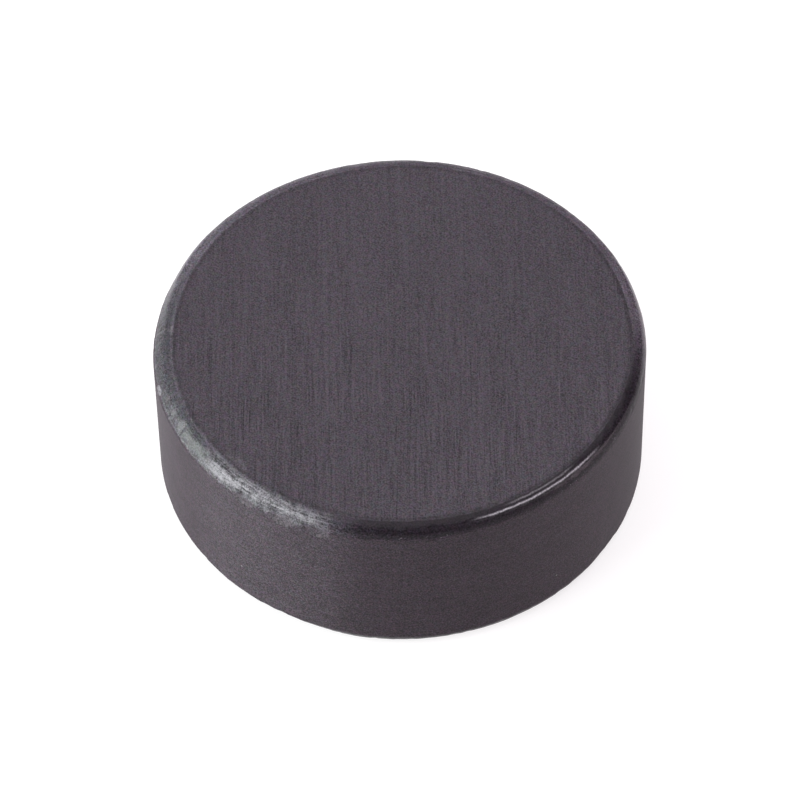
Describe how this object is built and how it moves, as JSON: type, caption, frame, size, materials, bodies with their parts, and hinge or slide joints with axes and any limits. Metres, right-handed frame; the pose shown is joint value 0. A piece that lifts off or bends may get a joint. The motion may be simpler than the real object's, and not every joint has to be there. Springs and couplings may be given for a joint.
{
  "type": "ceramic disc magnet",
  "caption": "Solid round ceramic magnet: flat ground pole faces, a straight ground side wall and a rounded, worn rim at each end. It grips steel or seats in a round pocket.",
  "frame": {"origin": "centre of the lower pole face, on the disc's own axis", "axes": "+Z along the disc's axis, from the lower pole face to the upper one. -Y faces the viewer and +X is to the viewer's right, so the grinding marks on both pole faces run along Y"},
  "size_m": [0.0126, 0.0126, 0.0048],
  "materials": {
    "ferrite": "matte"
  },
  "bodies": {
    "root": {"disc_magnet": "ferrite"}
  },
  "joints": []
}
